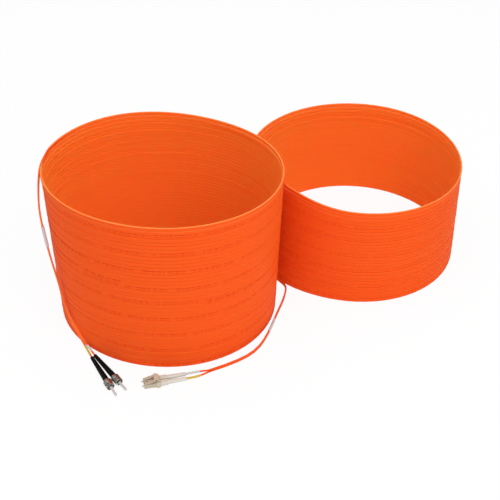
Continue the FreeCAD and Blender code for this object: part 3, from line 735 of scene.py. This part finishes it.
def sleeve_rings(line, reference, first, last, profile, pinch):
    """Line and rings of a sleeve over part of a line.

    The profile is drawn in at the ends, to 1 - share * exp(-(distance from the end / reach)^2).
    """
    gone = distances(line)
    at = np.linspace(first, last, SLEEVE_RINGS)
    run = values_at(gone, line, at)
    normal, across = directions(run, values_at(gone, reference, at))
    share, reach = pinch
    scale = 1.0 - share * np.exp(-(np.minimum(at - first, last - at) / reach) ** 2)
    return run, ring_points(run, normal, across, profile[None] * scale[:, None, None])


def standing(place, right, up, back):
    """Matrix of an object at a place, with its own axes along three directions."""
    axes = np.column_stack([right, up, back])
    return Matrix.Translation(place) @ Matrix(axes.tolist()).to_4x4()


class PatchCordCord(bpy.types.PropertyGroup):
    """Sizes and colours of the cord."""
    leg_diameter: bpy.props.FloatProperty(
        name="Leg diameter", description="Diameter of one leg of the cord", default=0.0018, unit="LENGTH")
    leg_spacing: bpy.props.FloatProperty(
        name="Leg spacing", description="Distance between the two legs' centres", default=0.0022,
        unit="LENGTH")
    web: bpy.props.FloatProperty(
        name="Web half thickness", description="Half thickness of the web that joins the legs",
        default=0.00042, unit="LENGTH")
    pressed_web: bpy.props.FloatProperty(
        name="Pressed web half thickness",
        description="Half thickness of the web where turns press on each other", default=0.00068,
        unit="LENGTH")
    pressed_spacing: bpy.props.FloatProperty(
        name="Pressed leg spacing",
        description="Distance between the legs' centres where turns press on each other", default=0.0024,
        unit="LENGTH")
    wall: bpy.props.FloatProperty(
        name="Coil wall", description="Twice the depth of the turns' middle below a coil's outside",
        default=0.0010, unit="LENGTH")
    jacket: bpy.props.FloatVectorProperty(
        name="Jacket", description="Jacket colour", subtype="COLOR", default=(0.89, 0.109, 0.0140))
    jacket_dark: bpy.props.FloatVectorProperty(
        name="Jacket, darker", description="Darker tone of the jacket", subtype="COLOR",
        default=(0.85, 0.092, 0.0108))
    # Painted bounce light: a paler jacket tone where it faces into a coil
    jacket_inside_painted_light: bpy.props.FloatVectorProperty(
        name="Jacket, inside", description="Tone of the jacket where it faces into a coil", subtype="COLOR",
        default=(0.99, 0.195, 0.025))
    # Painted highlight: a paler jacket tone along a coil's top edge and along the bayonet tail
    jacket_rim_highlight: bpy.props.FloatVectorProperty(
        name="Jacket, rim", description="Tone of the jacket along a coil's top edge", subtype="COLOR",
        default=(1.0, 0.27, 0.07))
    print_colour: bpy.props.FloatVectorProperty(
        name="Print", description="Colour of the jacket's plain dashes", subtype="COLOR",
        default=(0.62, 0.012, 0.0015))
    print_strength: bpy.props.FloatProperty(
        name="Print strength", description="How far the worn dashes cover the jacket", default=0.78,
        subtype="FACTOR")


class PatchCordFittings(bpy.types.PropertyGroup):
    """Sizes and colours of sleeves, labels and plugs."""
    sleeve_diameter: bpy.props.FloatProperty(
        name="Sleeve diameter", description="Diameter of a leg's marker sleeve", default=0.0022,
        unit="LENGTH")
    yellow: bpy.props.FloatVectorProperty(
        name="Yellow", description="Colour of the first leg's sleeve", subtype="COLOR",
        default=(0.60, 0.44, 0.012))
    white: bpy.props.FloatVectorProperty(
        name="White", description="Colour of the other leg's sleeve", subtype="COLOR",
        default=(0.59, 0.64, 0.65))
    label: bpy.props.FloatVectorProperty(
        name="Label", description="Colour of the bare labels", subtype="COLOR", default=(0.63, 0.545, 0.555))
    boot_black: bpy.props.FloatVectorProperty(
        name="Black boot", description="Colour of the bayonet boots", subtype="COLOR",
        default=(0.0035, 0.0028, 0.0026))
    boot_white: bpy.props.FloatVectorProperty(
        name="White boot", description="Colour of the latch boots", subtype="COLOR",
        default=(0.64, 0.645, 0.565))
    beige: bpy.props.FloatVectorProperty(
        name="Beige", description="Colour of the latch housings", subtype="COLOR",
        default=(0.51, 0.455, 0.342))
    nickel: bpy.props.FloatVectorProperty(
        name="Nickel", description="Colour of the plated metal", subtype="COLOR", default=(0.36, 0.35, 0.32))
    steel: bpy.props.FloatVectorProperty(
        name="Steel", description="Colour of springs, rings and washers", subtype="COLOR",
        default=(0.55, 0.55, 0.55))
    ceramic: bpy.props.FloatVectorProperty(
        name="Ceramic", description="Colour of the ferrules", subtype="COLOR", default=(0.56, 0.57, 0.57))


class PatchCordStage(bpy.types.PropertyGroup):
    """Floor and light."""
    floor_size: bpy.props.FloatProperty(
        name="Floor size", description="Side of the floor", default=12.0, unit="LENGTH")
    key_power: bpy.props.FloatProperty(
        name="Key light", description="Power of the key light in watts", default=10.0)
    fill_power: bpy.props.FloatProperty(
        name="Fill light", description="Power of the fill light in watts", default=1.5)
    top_power: bpy.props.FloatProperty(
        name="Top light", description="Power of the light above the coils in watts", default=3.0)
    ambient: bpy.props.FloatProperty(name="Ambient", description="Strength of the even light", default=0.68)


class PATCHCORD_OT_cord(bpy.types.Operator):
    """Lay the whole cord in one line: bayonet tail, front coil, crossover, back coil and latch tail."""
    bl_idname = "patchcord.cord"
    bl_label = "Coiled cord"

    def execute(self, context):
        cord = context.scene.patch_cord
        line, normal, across = cord_line(cord)
        radius = cord.leg_diameter / 2
        loose = zip_profile(radius, cord.leg_spacing, cord.web, 1.0)
        square = zip_profile(radius, cord.pressed_spacing, cord.pressed_web, PRESSED_POWER)
        from_top, to_floor, outward = coil_turns(line, cord)
        pressed = eased(from_top, *PRESSED_BEGINS) * eased(to_floor, *PRESSED_ENDS)
        blend = pressed[:, None, None]
        rings = ring_points(line, normal, across, loose * (1 - blend) + square * blend)
        mesh = swept_mesh("cord", line, rings)
        offset = rings - line[:, None]
        facing = np.einsum("ijk,ik->ij", offset, outward) / radius
        # Inside mask: paints the paler inner tone as painted bounce light, spreads light further in the skin
        # and keeps the dashes off
        inside = eased(-facing, *INNER_FACING) * eased(from_top, *INNER_BEGINS)[:, None]
        point_values(mesh, "inside", inside)
        # Painted highlight: a paler tone on the upward face of each coil's first turns, and along the
        # bayonet tail
        top = eased(offset[..., 2] / (radius + cord.leg_spacing / 2), *RIM_HIGHLIGHT_HEIGHT)
        upper = eased(from_top, *RIM_HIGHLIGHT_BEGINS) * (1.0 - sum(eased(from_top, *step) for step in RIM_HIGHLIGHT_STEPS) / 2)
        # Painted highlight along the bayonet tail, fading out along the cord
        tail = TAIL_HIGHLIGHT * (1.0 - eased(distances(line), *TAIL_HIGHLIGHT_FADE))
        point_values(mesh, "rim", np.maximum(top * upper[:, None], tail[:, None]))
        piece = add_piece("cord", mesh, jacket_material(cord))
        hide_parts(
            "front_coil", "back_coil", "crossover_cord", "bayonet_tail_cord", "latch_tail_cord")
        return {"FINISHED"}


class PATCHCORD_OT_legs(bpy.types.Operator):
    """Lay the four legs between the splits and the boots."""
    bl_idname = "patchcord.legs"
    bl_label = "Legs"

    def execute(self, context):
        cord = context.scene.patch_cord
        material = bpy.data.materials["jacket"]
        profile = circle_profile(cord.leg_diameter / 2, LEG_SIDES)
        for name, route in LEGS.items():
            line = leg_line(name)
            rings = ring_points(line, *directions(line, upward(line)), profile)
            mesh = swept_mesh(name + "_leg_cord", line, rings)
            piece = add_piece(name + "_leg_cord", mesh, material)
            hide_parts(name + "_leg")
        return {"FINISHED"}


class PATCHCORD_OT_sleeves(bpy.types.Operator):
    """Shrink a marker sleeve on to each leg."""
    bl_idname = "patchcord.sleeves"
    bl_label = "Marker sleeves"

    def execute(self, context):
        fittings = context.scene.patch_fittings
        finishes = {
            letter: plastic_material("marker_" + tone, getattr(fittings, tone))
            for letter, tone in SLEEVE_TONES.items()}
        profile = circle_profile(fittings.sleeve_diameter / 2, SLEEVE_SIDES)
        for name, span in SLEEVE_SPANS.items():
            line = leg_line(name)
            first, last = [at * MM for at in span]
            run, rings = sleeve_rings(line, upward(line), first, last, profile, MARKER_PINCH)
            mesh = swept_mesh(name + "_marker", run, rings)
            letter = name[-1]
            piece = add_piece(
                name + "_marker", mesh, finishes[letter])
            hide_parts(name + "_sleeve")
        return {"FINISHED"}


class PATCHCORD_OT_labels(bpy.types.Operator):
    """Wrap a bare label sleeve round each tail of the flat cord."""
    bl_idname = "patchcord.labels"
    bl_label = "Label sleeves"

    def execute(self, context):
        material = plastic_material("label_white", context.scene.patch_fittings.label)
        line, normal, _ = cord_line(context.scene.patch_cord)
        total = distances(line)[-1]
        for name, label in LABELS.items():
            first, last = [at * MM for at in label["span"]]
            if not label["from_start"]:
                first, last = total - last, total - first
            profile = stadium_profile(label["width"] * MM, label["thickness"] * MM, LABEL_EDGE_POINTS)
            run, rings = sleeve_rings(line, normal, first, last, profile, LABEL_PINCH)
            piece = add_piece(name + "_wrap", swept_mesh(name + "_wrap", run, rings), material)
            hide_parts(name)
        return {"FINISHED"}


class PATCHCORD_OT_bayonet(bpy.types.Operator):
    """Finish the bayonet plugs: edges rounded on the pieces in sight, and materials on all."""
    bl_idname = "patchcord.bayonet"
    bl_label = "Bayonet plugs"

    def execute(self, context):
        fittings = context.scene.patch_fittings
        boot = plastic_material("black_boot", fittings.boot_black)
        nickel = metal_material("nickel_plate", fittings.nickel)
        steel = metal_material("spring_steel", fittings.steel)
        ceramic = plastic_material("zirconia", fittings.ceramic)
        for letter in "ab":
            plug = f"bayonet_{letter}_"
            finished_copy(plug + "boot", boot)
            finished_copy(plug + "body", nickel)
            finished_copy(plug + "ferrule", ceramic)
            finished_copy(plug + "nut", nickel, plug + "nut")
            dress_node(plug + "crimp_sleeve", nickel)
            dress_node(plug + "retaining_ring", steel)
            dress_node(plug + "thrust_washer", steel)
            spring_copy(plug + "spring", steel)
        return {"FINISHED"}


class PATCHCORD_OT_latch(bpy.types.Operator):
    """Finish the latch plugs and their clip: edges rounded on the pieces in sight, and materials on all."""
    bl_idname = "patchcord.latch"
    bl_label = "Latch plugs"

    def execute(self, context):
        fittings = context.scene.patch_fittings
        boot = plastic_material("white_boot", fittings.boot_white)
        beige = plastic_material("beige_housing", fittings.beige)
        clip = plastic_material("clip_plastic", [part * CLIP_LIGHTER for part in fittings.beige])
        nickel = bpy.data.materials["nickel_plate"]
        steel = bpy.data.materials["spring_steel"]
        ceramic = bpy.data.materials["zirconia"]
        for letter in "ab":
            plug = f"latch_{letter}_"
            finished_copy(plug + "boot", boot)
            finished_copy(plug + "housing", beige)
            finished_copy(plug + "lever", beige, plug + "lever")
            finished_copy(plug + "ferrule", ceramic, plug + "ferrule")
            dress_node(plug + "crimp_ring", nickel)
            dress_node(plug + "backbone", beige)
            dress_node(plug + "collet", nickel)
            spring_copy(plug + "spring", steel)
        finished_copy("duplex_clip", clip)
        finished_copy("clip_trigger", clip, "trigger")
        return {"FINISHED"}


class PATCHCORD_OT_stage(bpy.types.Operator):
    """Set the pale floor, the soft lights and the camera."""
    bl_idname = "patchcord.stage"
    bl_label = "Studio stage"

    def execute(self, context):
        scene = context.scene
        stage = scene.patch_stage
        scene.view_settings.view_transform = "Standard"
        self.add_floor(scene, stage.floor_size / 2)
        self.add_world(scene, stage.ambient)
        for name, place in LAMPS.items():
            self.add_lamp(scene, name, place, getattr(stage, name + "_power"))
        self.add_camera(scene)
        return {"FINISHED"}

    def add_floor(self, scene, half):
        """A square floor: lit as plain grey, and seen as nearly white with the object's shadow on it."""
        mesh = bpy.data.meshes.new("floor")
        corners = [(-half, -half, 0), (half, -half, 0), (half, half, 0), (-half, half, 0)]
        mesh.from_pydata(corners, [], [(0, 1, 2, 3)])
        floor = bpy.data.objects.new("floor", mesh)
        scene.collection.objects.link(floor)
        material = new_material("floor")
        set_surface(material, {
            "Base Color": (FLOOR_GREY, FLOOR_GREY, FLOOR_GREY, 1.0), "Roughness": FLOOR_ROUGHNESS,
            "Specular IOR Level": FLOOR_SPECULAR})
        ray = add_node(material, "ShaderNodeLightPath").outputs
        seen = math_node(material, "MAXIMUM", ray["Is Camera Ray"], ray["Is Glossy Ray"])
        seen = math_node(material, "MAXIMUM", seen, ray["Is Transmission Ray"])
        glow = add_node(material, "ShaderNodeEmission", {"Color": WHITE, "Strength": 1.0})
        mix = add_node(material, "ShaderNodeMixShader", {
            0: product(material, seen, FLOOR_GLOW), 1: shader(material, "Principled BSDF").outputs[0],
            2: glow.outputs[0]})
        set_inputs(material, shader(material, "Material Output"), {0: mix.outputs[0]})
        mesh.materials.append(material)

    def add_world(self, scene, ambient):
        """Even light all round, seen as plain white."""
        world = bpy.data.worlds.new("studio")
        scene.world = world
        world.use_nodes = True
        ray = add_node(world, "ShaderNodeLightPath").outputs
        seen = math_node(world, "MAXIMUM", ray["Is Camera Ray"], ray["Is Transmission Ray"])
        strength = ranged(world, seen, to_low=ambient)
        set_inputs(world, shader(world, "Background"), {0: WHITE, 1: strength})

    def add_lamp(self, scene, name, place, power):
        """A square lamp that faces the middle of the object."""
        light = bpy.data.lights.new(name, "AREA")
        light.size = LAMP_SIZE
        light.energy = power
        lamp = bpy.data.objects.new(name, light)
        scene.collection.objects.link(lamp)
        back = unit((np.array(place) - floor_place(LIT_MIDDLE))[None])[0]
        right = unit(np.cross(UP, back)[None])[0]
        lamp.matrix_world = standing(place, right, np.cross(back, right), back)

    def add_camera(self, scene):
        """The photograph's camera: pitched down from level, then rolled about its own view."""
        pitch = math.radians(CAMERA_PITCH)
        roll = math.radians(CAMERA_ROLL)
        forward = np.array([0.0, math.cos(pitch), -math.sin(pitch)])
        right = np.array([1.0, 0.0, 0.0])
        up = np.cross(right, forward)
        camera = bpy.data.cameras.new("camera")
        camera.lens = CAMERA_LENS
        camera.sensor_width = CAMERA_SENSOR
        viewer = bpy.data.objects.new("camera", camera)
        scene.collection.objects.link(viewer)
        rolled_right = math.cos(roll) * right - math.sin(roll) * up
        rolled_up = math.sin(roll) * right + math.cos(roll) * up
        viewer.matrix_world = standing(floor_place(CAMERA_AT), rolled_right, rolled_up, -forward)
        scene.camera = viewer


STEPS = (
    PATCHCORD_OT_bayonet, PATCHCORD_OT_latch, PATCHCORD_OT_cord, PATCHCORD_OT_legs, PATCHCORD_OT_sleeves,
    PATCHCORD_OT_labels, PATCHCORD_OT_stage)


class PATCHCORD_PT_panel(bpy.types.Panel):
    """Lists the patch cord's settings and steps."""
    bl_idname = "PATCHCORD_PT_panel"
    bl_label = "Patch cord"
    bl_space_type = "VIEW_3D"
    bl_region_type = "UI"
    bl_category = "Patch cord"

    def draw(self, context):
        scene = context.scene
        for group in (scene.patch_cord, scene.patch_fittings, scene.patch_stage):
            for name in group.__annotations__:
                self.layout.prop(group, name)
        for step in STEPS:
            self.layout.operator(step.bl_idname)


GROUPS = {"patch_cord": PatchCordCord, "patch_fittings": PatchCordFittings, "patch_stage": PatchCordStage}


def register():
    """Add the classes and their settings."""
    for kind in (*GROUPS.values(), *STEPS, PATCHCORD_PT_panel):
        bpy.utils.register_class(kind)
    for name, kind in GROUPS.items():
        setattr(bpy.types.Scene, name, bpy.props.PointerProperty(type=kind))


def unregister():
    """Take the settings and classes away again."""
    for name in GROUPS:
        delattr(bpy.types.Scene, name)
    for kind in (PATCHCORD_PT_panel, *STEPS, *GROUPS.values()):
        bpy.utils.unregister_class(kind)


def main():
    """Build the plugs, the cord, its sleeves and the stage."""
    register()
    bpy.ops.patchcord.bayonet()
    bpy.ops.patchcord.latch()
    bpy.ops.patchcord.cord()
    bpy.ops.patchcord.legs()
    bpy.ops.patchcord.sleeves()
    bpy.ops.patchcord.labels()
    bpy.ops.patchcord.stage()


if __name__ == "__main__":
    main()
